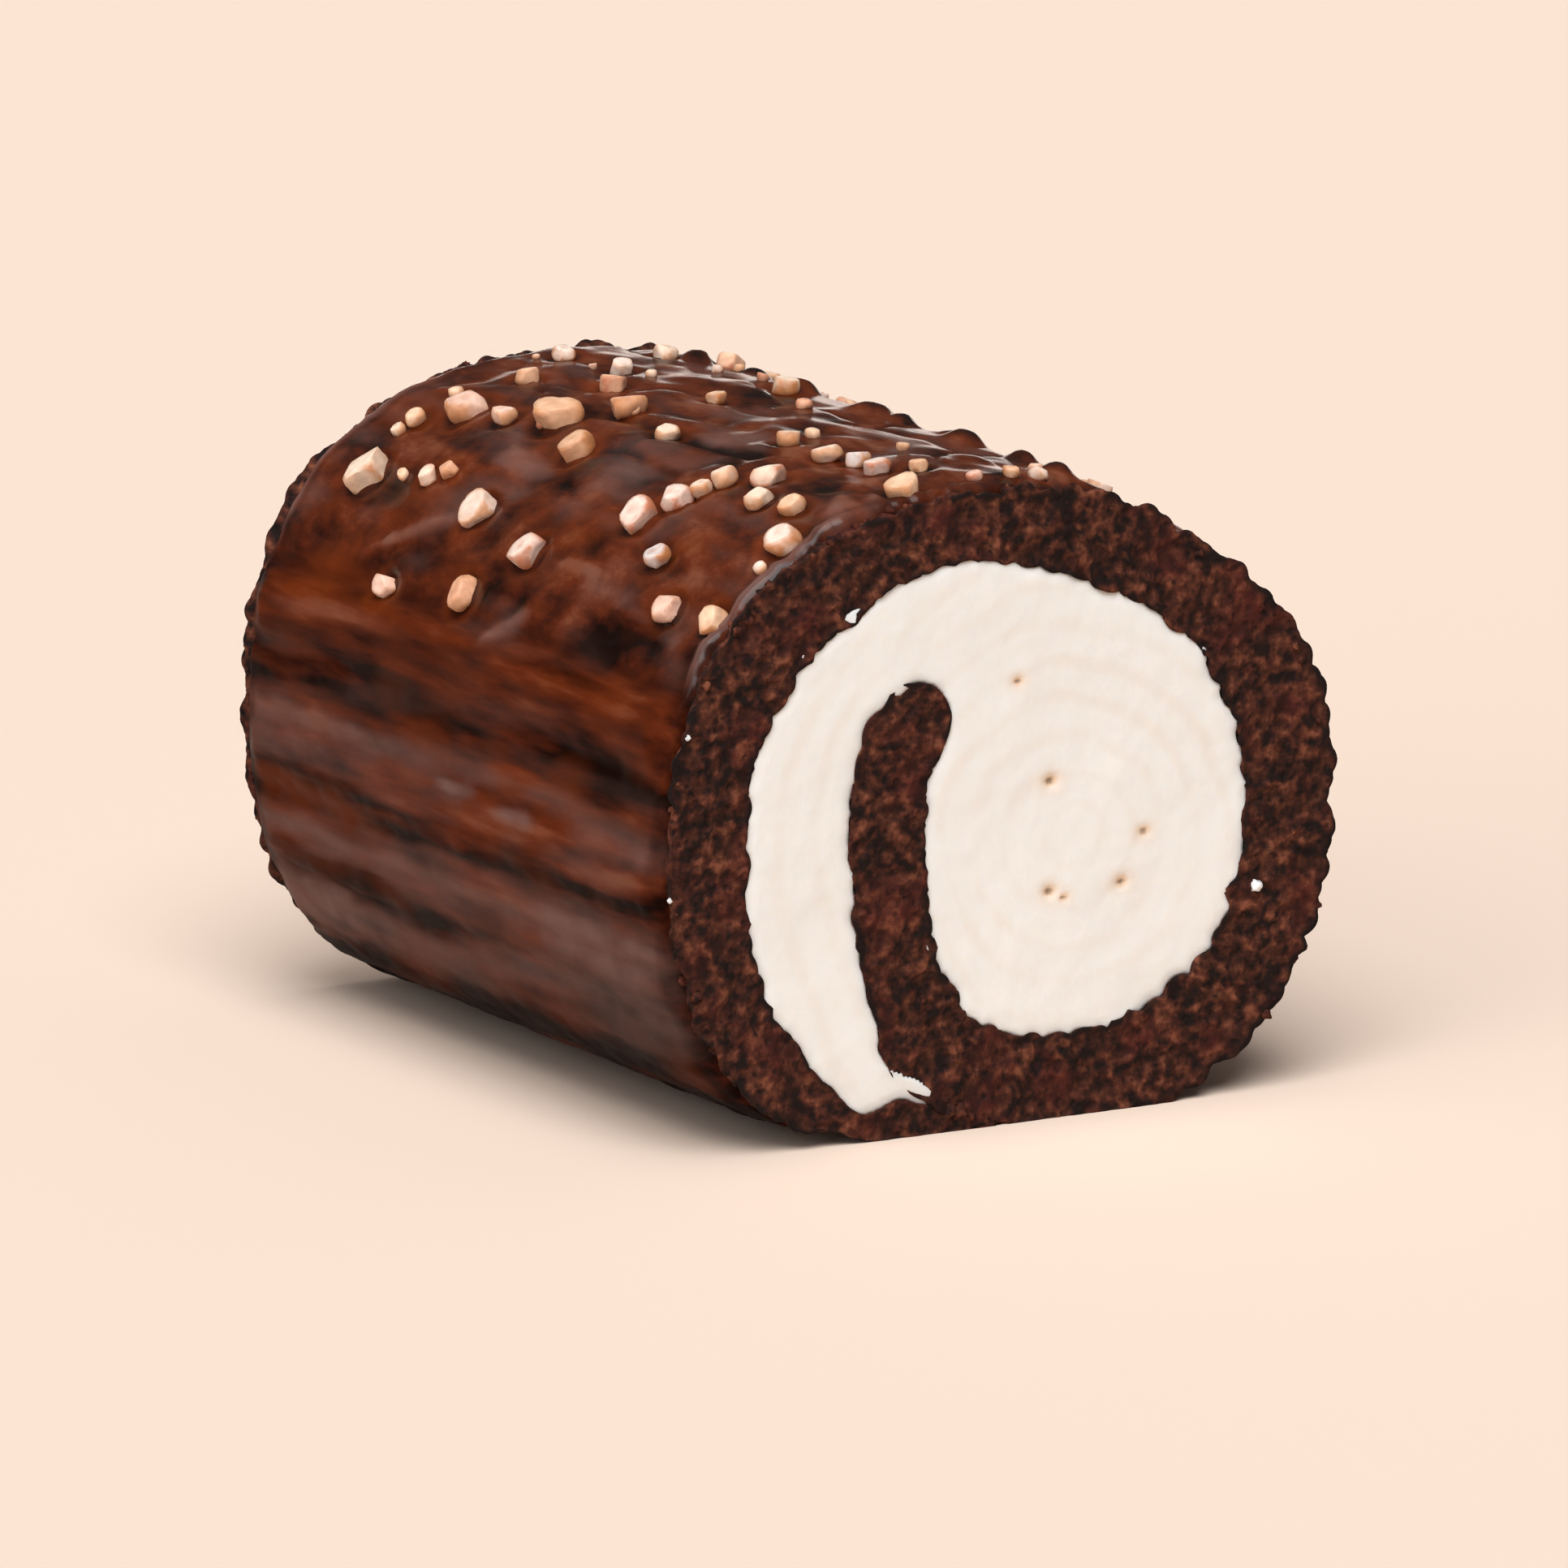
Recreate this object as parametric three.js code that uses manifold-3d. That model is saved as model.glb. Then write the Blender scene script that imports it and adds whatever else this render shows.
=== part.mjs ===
// A chocolate Swiss roll: one sponge sheet rolled round whipped cream, iced on the outside, with chopped nuts on top.
//
// Millimetres, +Z up. The roll lies along Y and its front cut faces -Y. The origin is on the table under the middle
// of the roll. Angles are in degrees round the roll's centre line, as seen from the front: 0 is right, 90 is up.
import * as THREE from "three";
import Module from "manifold-3d";
import { mergeVertices } from "three/addons/utils/BufferGeometryUtils.js";
import { ImprovedNoise } from "three/addons/math/ImprovedNoise.js";

// ---- driving dimensions ----
const rollLength = 96.5;
const halfWidth = 40.3; // of the bare sponge
const centreHeight = 34.5;
const topRise = 34.4; // from the centre to the top of the sponge
const baseDepth = 35.5; // deeper than the centre is high, which leaves a flat base
const roundness = { topRight: 1.9, topLeft: 2.25, base: 2.65 }; // superellipse powers: 2 is an ellipse
const lean = 2.6; // how far the top has slumped to the left
const gap = 0.3; // between the pieces

const sheetThickness = 8.8;
// The sheet's thickness round the outer turn, [angle, thickness], from the pinched seam under the roll.
const thicknessStations = [
  [268, 0.5],
  [265, 0.9],
  [261, 1.7],
  [257, 2.8],
  [249, 4.1],
  [241, 2.4],
  [232, 4.7],
  [222, 6.6],
  [200, 7.7],
  [180, 8],
  [145, 8.8],
  [125, 8.8],
  [110, 7.2],
  [96, 6.5],
  [82, 7.2],
  [70, 7.6],
  [40, 8],
  [5, 9.9],
  [-30, 10.3],
  [-50, 10.1],
  [-80, sheetThickness],
];
const curl = {
  start: -80, // where the sheet turns inwards
  tip: -244, // where it ends
  tightness: 0.4, // its distance from the centre once curled in, as a share of the outer turn's
  power: 13.5, // how fast it curls in
  flick: 0.09, // how far the tip leans back out
  nose: 4.6, // length of the rounded tip
  lift: { from: 15, to: 35, depth: 2 }, // degrees past the start over which it loses the flat of the base
};
const crumb = { bump: 1.1, size: 4.2, pits: 1.5, pitSize: 2.9 }; // torn crumb on the sheet's faces and cuts
// The sponge bulges past the icing at each cut, but not where it rests on the table.
const rim = { reach: 2.5, flare: 1.1, bumpSize: 3.6, above: 7 };
const creamRipple = { height: 0.35, spacing: 9, centre: [9, 30] };

const icing = {
  thickness: 1.1,
  inset: 2.8, // from each cut face
  left: 233, // the angles where its two edges stop, clear of the table
  right: -52,
  lumps: 0.8,
  lumpSize: 13,
  wander: 2.2, // how many degrees a fold strays along the roll
};
// Folds of icing drawn along the roll, [from, to, height].
const folds = [
  [158, 169.5, 1.3],
  [169.5, 181, 0.3],
  [181, 193.5, 1.15],
  [193.5, 199.5, 0.4],
  [199.5, 206.5, 0.85],
  [206.5, 229, 0.9],
  [58, 79, 0.9],
  [18, 30, 0.9],
  [6, 18, 1.1],
  [-7, 6, 0.4],
  [-19, -7, 1.1],
  [-33, -19, 0.8],
  [-50, -33, 0.7],
];
// The larger chopped nuts, [angle, distance from the front cut, size].
const placedNuts = [
  [140.4, 83.6, 5.4],
  [127.4, 85.4, 2.6],
  [122, 79.2, 5],
  [121.5, 71.1, 3],
  [117.3, 64.4, 5.6],
  [123, 53.8, 4.2],
  [137.8, 71.7, 2.4],
  [135.7, 69, 2.4],
  [140.1, 58.6, 4.3],
  [144.4, 43.4, 4.3],
  [156.6, 67.9, 3.1],
  [153.8, 51.6, 4],
  [110.2, 47.6, 3],
  [132.8, 29.6, 4.4],
  [127, 27.4, 3.8],
  [122.8, 26.1, 2.6],
  [118.8, 25.6, 3.4],
  [138, 21.3, 3.4],
  [145.4, 13.2, 3.8],
  [144.9, 4.2, 3.5],
  [127.2, 4.8, 4.6],
  [114.2, 21, 4],
  [121, 15.7, 3.2],
  [119.8, 10, 3],
  [99.4, 32.2, 3.2],
  [99.4, 24.1, 3.2],
  [97.4, 19.7, 3],
  [98.4, 14.9, 3.2],
  [102.8, 4.2, 4.2],
  [90.9, 57.1, 2.4],
  [92.4, 12, 2.4],
];
// Patches of other nuts, by angles and distances from the front cut.
const nutPatches = [
  { count: 22, angles: [18, 62], along: [6, 90.5] },
  { count: 9, angles: [64, 112], along: [52, 90.5] },
];
const scattered = { smallest: 2.6, largest: 4.2, spacing: 5.5 };

// ---- small helpers ----
const radians = THREE.MathUtils.degToRad;
const mixed = THREE.MathUtils.lerp;
const perlin = new ImprovedNoise();
const noise = (x, y, z) => perlin.noise(x + 31.7, y + 11.3, z + 7.9);

let seed = 7;
const random = () => {
  seed = (seed * 16807) % 2147483647;
  return seed / 2147483647;
};

function atStation(stations, angle) {
  const next = stations.findIndex(([a]) => a <= angle);
  if (next <= 0) return stations[next < 0 ? stations.length - 1 : 0][1];
  const [a0, v0] = stations[next - 1];
  const [a1, v1] = stations[next];
  return mixed(v0, v1, THREE.MathUtils.smoothstep(a0 - angle, 0, a0 - a1));
}

// ---- the roll's section ----
// A point of the bare sponge's outline, on a table at height 0. The curl has no table under it.
function outline(angle, floor = 0) {
  const c = Math.cos(radians(angle));
  const s = Math.sin(radians(angle));
  const top = mixed(roundness.topLeft, roundness.topRight, THREE.MathUtils.smoothstep(c, -0.5, 0.5));
  const power = s > 0 ? top : roundness.base;
  const rise = s > 0 ? topRise : baseDepth;
  const r = (Math.abs(c / halfWidth) ** power + Math.abs(s / rise) ** power) ** (-1 / power);
  return new THREE.Vector2(r * c - lean * Math.max(0, s) ** 2, Math.max(floor, centreHeight + r * s));
}

function outwardNormal(angle, floor = 0) {
  const along = outline(angle + 0.5, floor).sub(outline(angle - 0.5, floor)).normalize();
  return new THREE.Vector2(along.y, -along.x);
}

function outlineOffset(angle, distance, floor = 0) {
  return outline(angle, floor).addScaledVector(outwardNormal(angle, floor), distance);
}

const centre = new THREE.Vector2(0, centreHeight);

// The middle of the sheet: half its thickness inside the outline, then curling in towards the centre.
function sheetCentre(angle) {
  const thickness = angle > curl.start ? atStation(thicknessStations, angle) : sheetThickness;
  const { from, to, depth } = curl.lift;
  const floor = -depth * THREE.MathUtils.smoothstep(curl.start - angle, from, to);
  const point = outlineOffset(angle, -thickness / 2, floor);
  if (angle > curl.start) return point;
  const share = (curl.start - angle) / (curl.start - curl.tip);
  const loose = (1 - curl.tightness) * (1 - share ** 2) ** curl.power;
  const pull = curl.tightness + loose + curl.flick * share ** 6;
  return point.sub(centre).multiplyScalar(pull).add(centre);
}

// Places along the sheet, from the seam to the tip, each with its inward normal and thickness. They are evenly
// spaced, and closer at the rounded tip.
function sheetPlaces(count) {
  const fine = 900;
  const first = thicknessStations[0][0];
  const angles = Array.from({ length: fine + 1 }, (_, i) => mixed(first, curl.tip, i / fine));
  const points = angles.map(sheetCentre);
  const run = [0];
  for (let i = 1; i <= fine; i++) run.push(run[i - 1] + points[i].distanceTo(points[i - 1]));
  const total = run[fine];
  const stops = Array.from({ length: count }, (_, k) => ((total - curl.nose) * k) / (count - 1));
  for (const share of [0.55, 0.25, 0.07, 0]) stops.push(total - curl.nose * share);
  const reach = 10; // samples each side that the curl's normal is taken over
  return stops.map((s) => {
    const i = Math.min(fine - 1, run.findLastIndex((r) => r <= s));
    const f = (s - run[i]) / (run[i + 1] - run[i]);
    const angle = mixed(angles[i], angles[i + 1], f);
    const along = points[Math.min(fine, i + reach)].clone().sub(points[Math.max(0, i - reach)]).normalize();
    const left = Math.max(0, total - s);
    const nose = left < curl.nose ? Math.sqrt(1 - (1 - left / curl.nose) ** 2) : 1;
    const thickness = angle > curl.start ? atStation(thicknessStations, angle) : sheetThickness;
    return {
      s,
      angle,
      point: points[i].clone().lerp(points[i + 1], f),
      inward: angle > curl.start ? outwardNormal(angle).negate() : new THREE.Vector2(along.y, -along.x),
      thickness: Math.max(thickness * nose, 0.4),
    };
  });
}

// ---- solids ----
const wasm = await Module();
wasm.setup();

function solid(geometry) {
  const bare = geometry.clone();
  for (const name of ["normal", "uv"]) bare.deleteAttribute(name);
  const merged = mergeVertices(bare, 1e-4);
  const triVerts = new Uint32Array(merged.index.array);
  const make = () => new wasm.Manifold(
    new wasm.Mesh({ numProp: 3, vertProperties: merged.attributes.position.array, triVerts }),
  );
  const made = make();
  if (made.volume() > 0) return made;
  triVerts.reverse();
  return make();
}

function geometryOf(manifold) {
  const mesh = manifold.getMesh();
  const positions = new Float32Array(mesh.numVert * 3);
  for (let i = 0; i < mesh.numVert; i++)
    positions.set(mesh.vertProperties.subarray(i * mesh.numProp, i * mesh.numProp + 3), i * 3);
  const geometry = new THREE.BufferGeometry();
  geometry.setAttribute("position", new THREE.BufferAttribute(positions, 3));
  geometry.setIndex(new THREE.BufferAttribute(mesh.triVerts, 1));
  geometry.computeVertexNormals();
  return geometry;
}

function moveVertices(geometry, place) {
  const p = geometry.attributes.position;
  for (let i = 0; i < p.count; i++) p.setXYZ(i, ...place(p.getX(i), p.getY(i), p.getZ(i)));
  return geometry;
}

// The largest body of a cut, without the crumbs that a cut can leave.
function largest(manifold) {
  return manifold.decompose().sort((a, b) => b.volume() - a.volume())[0];
}

const half = rollLength / 2;
const slices = [-half, 1.2 - half, rim.reach - half, half - rim.reach, half - 1.2, half];

// The sheet as a box bent along the spiral, in slices at `ys`. `extra` thickens it on both sides and at its tip, and
// then the outer turn and the curl are separate boxes, because the pinched edge at the seam is too near the curl.
function bentSheet(ys, extra = 0) {
  const layers = 3;
  const places = sheetPlaces(128);
  const last = ys.length - 1;
  const bend = (first, count) => {
    const box = new THREE.BoxGeometry(1, 1, 1, count, layers, last);
    return solid(
      moveVertices(box, (bx, by, bz) => {
        const place = first + Math.round((bx + 0.5) * count);
        const { s, angle, point, inward, thickness } = places[place];
        const side = (Math.round((by + 0.5) * layers) / layers) * 2 - 1; // -1 on the outer face, 1 on the inner
        const slice = Math.round((bz + 0.5) * last);
        const y = ys[slice];
        const torn = Math.min(1, thickness / sheetThickness); // thin places stay smoother
        const outside = side === -1 && angle > curl.start; // the face that the icing covers, but for its rims
        const atCut = THREE.MathUtils.smoothstep(Math.abs(y), half - rim.reach, half);
        const bump = crumb.bump * noise(s / crumb.size, side * 3, 0) * torn;
        const clear = THREE.MathUtils.smoothstep(point.y, 0, rim.above);
        const flare = rim.flare * clear * (0.6 + noise(s / rim.bumpSize, y / rim.bumpSize, 5));
        const reach = outside ? -thickness / 2 - extra - flare * atCut : side * (thickness / 2 + extra + bump);
        const at = point.clone().addScaledVector(inward, reach);
        if (place === places.length - 1) at.add(new THREE.Vector2(-inward.y, inward.x).multiplyScalar(extra));
        const inCut = (slice === 0 || slice === last) && Math.abs(side) < 1;
        const pit = inCut ? crumb.pits * Math.abs(noise(s / crumb.pitSize, side * 2, y)) * torn : 0;
        return [at.x, y - Math.sign(y) * pit, Math.max(extra ? -1 : 0, at.y)];
      }),
    );
  };
  const end = places.length - 1;
  const join = places.findIndex(({ angle }) => angle < 0);
  return extra ? bend(0, join).add(bend(join, end - join)) : bend(0, end);
}

// A closed drum whose wall follows `wall(angle, y)` and whose two ends are moved by `relief(x, z)`.
function drum(rings, segments, ys, wall, relief = () => 0) {
  const profile = [];
  for (let i = 0; i < rings; i++) profile.push(new THREE.Vector2(i / rings, 0));
  for (let i = 0; i < ys.length; i++) profile.push(new THREE.Vector2(1, i));
  for (let i = rings - 1; i >= 0; i--) profile.push(new THREE.Vector2(i / rings, ys.length - 1));
  const lathe = new THREE.LatheGeometry(profile, segments);
  return solid(
    moveVertices(lathe, (x, y, z) => {
      const r = Math.hypot(x, z);
      const index = Math.round(y);
      const turn = Math.round((Math.atan2(x, z) * segments) / (2 * Math.PI));
      const angle = (((turn + segments) % segments) * 360) / segments;
      const point = r < 1e-4 ? centre.clone() : centre.clone().lerp(wall(angle, ys[index]), Math.min(1, r));
      const bulge = index === 0 ? -1 : index === ys.length - 1 ? 1 : 0;
      return [point.x, ys[index] + bulge * relief(point.x, point.y), point.y];
    }),
  );
}

// Round ripples left by the knife in the cream's cut face, never past the sponge's.
function ripple(x, z) {
  const r = Math.hypot(x - creamRipple.centre[0], z - creamRipple.centre[1]);
  const wave = Math.cos((r * 2 * Math.PI) / creamRipple.spacing);
  return creamRipple.height * (wave - 1 + noise(x / 11, z / 11, 2));
}

function makeCream() {
  const middle = (angle) => {
    const turn = angle > 270 ? angle - 360 : angle;
    return outlineOffset(angle, -atStation(thicknessStations, turn) / 2);
  };
  const disc = drum(6, 60, [0.2 - half, half - 0.2], middle, ripple);
  return largest(disc.subtract(bentSheet([-half - 3, half + 3], gap)));
}

// ---- icing ----
// How far the icing stands off the sponge. Below its edges it goes inside the sponge, so that it is cut away.
function icingHeight(angle, y) {
  const turn = angle > 271 ? angle - 360 : angle;
  const strayed = turn + icing.wander * noise(y / 34, turn / 70, 9);
  const fold = folds.find(([from, to]) => strayed >= from && strayed < to);
  const swell = fold ? fold[2] * Math.sin((Math.PI * (strayed - fold[0])) / (fold[1] - fold[0])) ** 0.8 : 0;
  const p = outline(turn);
  const lump = icing.lumps * (0.4 + noise(p.x / icing.lumpSize, y / icing.lumpSize, p.y / icing.lumpSize));
  const edge = Math.min(icing.left - turn, turn - icing.right);
  const cover = THREE.MathUtils.clamp(edge / 3, -1, 0.5) + 0.5;
  return mixed(-1.5, icing.thickness + swell + (fold ? 0.35 : 1) * lump, cover);
}

// One chopped nut: a lumpy twenty-sided chip, turned at random and partly sunk in the icing.
function nut(angle, y, size) {
  const chip = new THREE.IcosahedronGeometry(size / 2, 0);
  const squash = new THREE.Vector3(0.85 + 0.3 * random(), 0.7 + 0.3 * random(), 0.85 + 0.3 * random());
  const lump = 10 * random();
  moveVertices(chip, (px, py, pz) => {
    const swell = 1 + 0.45 * noise(px + lump, py, pz);
    return [px * swell * squash.x, py * swell * squash.y, pz * swell * squash.z];
  });
  chip.rotateX(2 * Math.PI * random());
  chip.rotateZ(2 * Math.PI * random());
  const at = outlineOffset(angle, gap + icingHeight(angle, y) + size * 0.05);
  chip.translate(at.x, y, at.y);
  return solid(chip);
}

function scatter() {
  const placed = placedNuts.map(([angle, from, size]) => [angle, from - half, size]);
  for (const { count, angles, along } of nutPatches) {
    const full = placed.length + count;
    for (let tries = 0; placed.length < full && tries < 4000; tries++) {
      const angle = mixed(...angles, random());
      const y = mixed(...along, random()) - half;
      const size = mixed(scattered.smallest, scattered.largest, random());
      const here = outline(angle);
      const apart = placed.map(([a, otherY]) => Math.hypot(outline(a).distanceTo(here), otherY - y));
      if (Math.min(...apart) > scattered.spacing) placed.push([angle, y, size]);
    }
  }
  return placed;
}

function makeIcing() {
  const span = half - icing.inset;
  const stations = 16;
  const ys = Array.from({ length: stations + 1 }, (_, i) => mixed(-span, span, i / stations));
  const coat = drum(1, 96, ys, (angle, y) => outlineOffset(angle, gap + icingHeight(angle, y)));
  const nuts = scatter().map((place) => nut(...place));
  const core = drum(1, 60, [-half - 1, half + 1], (angle) => outlineOffset(angle, gap));
  return largest(nuts.reduce((body, chip) => body.add(chip), coat).subtract(core));
}

// ---- the roll ----
const finishes = {
  sponge: { color: 0x3f231b, roughness: 0.95 },
  cream: { color: 0xf1e6da, roughness: 0.6 },
  icing: { color: 0x4a2114, roughness: 0.3 },
};

const roll = new THREE.Group();
for (const [name, body] of [
  ["sponge", bentSheet(slices)],
  ["cream", makeCream()],
  ["icing", makeIcing()],
]) {
  const mesh = new THREE.Mesh(geometryOf(body), new THREE.MeshStandardMaterial(finishes[name]));
  mesh.name = name;
  roll.add(mesh);
}
// The lumps of icing aren't quite alike on both sides, so the roll is set square over its origin.
roll.position.x = -new THREE.Box3().setFromObject(roll).getCenter(new THREE.Vector3()).x;

export default roll;
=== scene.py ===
import math
from random import Random

import bmesh
import bpy
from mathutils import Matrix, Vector, kdtree, noise


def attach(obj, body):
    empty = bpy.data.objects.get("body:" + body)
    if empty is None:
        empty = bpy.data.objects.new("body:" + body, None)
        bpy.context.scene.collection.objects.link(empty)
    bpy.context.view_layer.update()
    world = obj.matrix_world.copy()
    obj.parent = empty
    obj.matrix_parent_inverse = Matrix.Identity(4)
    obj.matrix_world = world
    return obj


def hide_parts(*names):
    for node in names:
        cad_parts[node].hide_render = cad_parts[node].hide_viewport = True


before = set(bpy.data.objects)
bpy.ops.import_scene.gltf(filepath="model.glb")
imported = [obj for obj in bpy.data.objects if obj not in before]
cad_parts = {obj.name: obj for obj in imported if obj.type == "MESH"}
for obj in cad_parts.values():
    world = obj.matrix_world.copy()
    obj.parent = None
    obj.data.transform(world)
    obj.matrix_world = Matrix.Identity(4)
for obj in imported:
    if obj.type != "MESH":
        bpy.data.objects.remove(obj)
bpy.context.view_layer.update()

print("frame loaded:", ", ".join(sorted(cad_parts)))

# the roll's section, with the same driving values as the CAD part
# angles go round the centre line as seen from the front: 0 right, 90 up
roll = {
    "half": 48.25,  # half its length
    "halfWidth": 40.3,
    "centreHeight": 34.5,
    "topRise": 34.4,
    "baseDepth": 35.5,
    "topRight": 1.9,  # superellipse powers
    "topLeft": 2.25,
    "base": 2.65,
    "lean": 2.6,
    "gap": 0.3,
    "sideways": 0.13,  # the part is set square over its origin
}
sheet = {
    "thickness": 8.8,
    "stations": [  # angle and thickness, from the pinched seam under the roll to the start of the curl
        (268, 0.5), (265, 0.9), (261, 1.7), (257, 2.8), (249, 4.1), (241, 2.4), (232, 4.7), (222, 6.6),
        (200, 7.7), (180, 8.0), (145, 8.8), (125, 8.8), (110, 7.2), (96, 6.5), (82, 7.2), (70, 7.6),
        (40, 8.0), (5, 9.9), (-30, 10.3), (-50, 10.1), (-80, 8.8),
    ],
    "curlStart": -80,
    "curlTip": -244,
    "tightness": 0.4,  # the curl's distance from the centre, as a share of the outer turn's
    "power": 13.5,
    "flick": 0.09,
    "nose": 4.6,  # the tip is rounded over this length
    "lift": (15, 35, 2),  # past the curl's start it loses the flat of the base, over so many degrees
}


def mix(a, b, share):
    return a + (b - a) * share


def ease(low, high, value):
    t = min(1, max(0, (value - low) / (high - low)))
    return t * t * (3 - 2 * t)


def soft(x, y, z, size, turn=0):
    # smooth noise, about -1 to 1, with hills that are size mm apart
    return noise.noise((x / size + 13.7 * turn + 0.37, y / size + 5.13, z / size + 9.71))


def pore(x, y, z, spacing, share, turn=0):
    # 1 at the bottom of a round pore, 0 between the pores
    near, middles = noise.voronoi((x / spacing + 7.9 * turn, y / spacing + 3.3, z / spacing + 1.7))
    radius = share * (0.7 + 1.1 * noise.noise(middles[0] * 5.3))
    return max(0, 1 - (near[0] / max(radius, 0.05)) ** 2)


def granule(x, y, z, spacing, turn=0):
    # rounded grains against each other: 1 on their tops, 0 or less in the joints
    near, _ = noise.voronoi((x / spacing + 3.1 * turn, y / spacing + 8.2, z / spacing + 4.4))
    return 1 - (near[0] / 0.75) ** 2


def outline(angle, floor=0):
    c = math.cos(math.radians(angle))
    s = math.sin(math.radians(angle))
    top = mix(roll["topLeft"], roll["topRight"], ease(-0.5, 0.5, c))
    power = top if s > 0 else roll["base"]
    rise = roll["topRise"] if s > 0 else roll["baseDepth"]
    r = (abs(c / roll["halfWidth"]) ** power + abs(s / rise) ** power) ** (-1 / power)
    return Vector((r * c - roll["lean"] * max(0, s) ** 2, max(floor, roll["centreHeight"] + r * s)))


def outward(angle, floor=0):
    along = (outline(angle + 0.5, floor) - outline(angle - 0.5, floor)).normalized()
    return Vector((along.y, -along.x))


def offOutline(angle, distance, floor=0):
    return outline(angle, floor) + outward(angle, floor) * distance


def thicknessAt(angle):
    if angle <= sheet["curlStart"]:
        return sheet["thickness"]
    stations = sheet["stations"]
    for (a0, t0), (a1, t1) in zip(stations, stations[1:]):
        if angle >= a1:
            return mix(t0, t1, ease(0, a0 - a1, a0 - angle))
    return stations[-1][1]


centre = Vector((0, roll["centreHeight"]))


def sheetMiddle(angle):
    start = sheet["curlStart"]
    low, high, depth = sheet["lift"]
    point = offOutline(angle, -thicknessAt(angle) / 2, -depth * ease(low, high, start - angle))
    if angle > start:
        return point
    share = (start - angle) / (start - sheet["curlTip"])
    loose = (1 - sheet["tightness"]) * (1 - share ** 2) ** sheet["power"]
    pull = sheet["tightness"] + loose + sheet["flick"] * share ** 6
    return centre + (point - centre) * pull


def sheetPlaces(steps, noseSteps=14, fine=2400, reach=26):
    # even steps along the sheet, seam to tip: run, angle, middle, inward direction, half thickness
    angles = [mix(sheet["stations"][0][0], sheet["curlTip"], i / fine) for i in range(fine + 1)]
    points = [sheetMiddle(angle) for angle in angles]
    runs = [0]
    for i in range(fine):
        runs.append(runs[-1] + (points[i + 1] - points[i]).length)
    total = runs[-1]
    nose = sheet["nose"]
    even = steps - noseSteps
    stops = [(total - nose) * k / even for k in range(even)]
    stops += [total - nose * (1 - math.sin(math.pi / 2 * k / noseSteps)) for k in range(noseSteps + 1)]
    places = []
    i = 0
    for run in stops:
        while i < fine - 1 and runs[i + 1] <= run:
            i += 1
        share = (run - runs[i]) / (runs[i + 1] - runs[i])
        angle = mix(angles[i], angles[i + 1], share)
        along = (points[min(fine, i + reach)] - points[max(0, i - reach)]).normalized()
        inward = -outward(angle) if angle > sheet["curlStart"] else Vector((along.y, -along.x))
        left = max(0, total - run)
        thickness = thicknessAt(angle)
        if left < nose:
            thickness *= math.sqrt(max(0, 1 - (1 - left / nose) ** 2))
        middle = points[i].lerp(points[i + 1], min(1, share))
        places.append([run, angle, middle, inward, max(thickness, 0.4) / 2])
    turned = [place[3] for place in places]
    middles = [place[2] for place in places]
    for k, place in enumerate(places):  # evens out the turn where the curl leaves the outer ring
        near = turned[max(0, k - 8):k + 9]
        place[3] = sum(near, Vector((0, 0))).normalized()
        angle, half = place[1], place[4]
        outer = outline(angle) + place[3] * half
        if abs(sheet["curlStart"] - 14 - angle) < 20:
            place[2] = sum(middles[k - 12:k + 13], Vector((0, 0))) / 25
        place[2] = place[2].lerp(outer, ease(sheet["curlStart"], sheet["curlStart"] + 12, angle))
    return places


# one small function for every node
def addNode(tree, kind, settings=None, links=None):
    node = tree.nodes.new("ShaderNode" + kind)
    for name, value in (settings or {}).items():
        if name == "stops":
            ramp = node.color_ramp
            while len(ramp.elements) < len(value):
                ramp.elements.new(0.5)
            for element, (where, colour) in zip(ramp.elements, value):
                element.position = where
                element.color = colour
        elif isinstance(name, int) or name in node.inputs:
            node.inputs[name].default_value = value
        else:
            setattr(node, name, value)
    for name, socket in (links or {}).items():
        tree.links.new(socket, node.inputs[name])
    return node


def tone(hexText):
    # an sRGB hex colour as Blender's linear RGBA
    linear = []
    for i in (1, 3, 5):
        c = int(hexText[i:i + 2], 16) / 255
        linear.append(c / 12.92 if c <= 0.04045 else ((c + 0.055) / 1.055) ** 2.4)
    return (*linear, 1)


def perMetre(millimetres):
    return 1000 / millimetres


def startMaterial(name):
    material = bpy.data.materials.new(name)
    material.use_nodes = True
    tree = material.node_tree
    return material, tree, tree.nodes["Principled BSDF"], addNode(tree, "TexCoord").outputs["Object"]


def slab(columns, rows, slices):
    # a grid drawn up through so many slices: x and y from -1 to 1, z the number of the slice
    bm = bmesh.new()
    bmesh.ops.create_grid(bm, x_segments=columns, y_segments=rows, size=1)
    top = bm.faces[:]
    for step in range(slices - 1):
        made = bmesh.ops.extrude_face_region(bm, geom=top)["geom"]
        if step > 0:  # only the two ends keep their faces
            bmesh.ops.delete(bm, geom=top, context="FACES")
        top = [part for part in made if isinstance(part, bmesh.types.BMFace)]
        corners = [part for part in made if isinstance(part, bmesh.types.BMVert)]
        bmesh.ops.translate(bm, verts=corners, vec=(0, 0, 1))
    return bm


def finishPiece(bm, name, material, smooth=True):
    bmesh.ops.recalc_face_normals(bm, faces=bm.faces[:])
    for v in bm.verts:
        v.co.x += roll["sideways"]
    bmesh.ops.scale(bm, vec=(0.001, 0.001, 0.001), verts=bm.verts[:])
    mesh = bpy.data.meshes.new(name)
    bm.to_mesh(mesh)
    bm.free()
    for face in mesh.polygons:
        face.use_smooth = smooth
    mesh.materials.append(material)
    piece = bpy.data.objects.new(name, mesh)
    bpy.context.scene.collection.objects.link(piece)
    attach(piece, "root")
    print("made", name, sum(len(face.vertices) - 2 for face in mesh.polygons), "triangles")
    return piece


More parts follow.
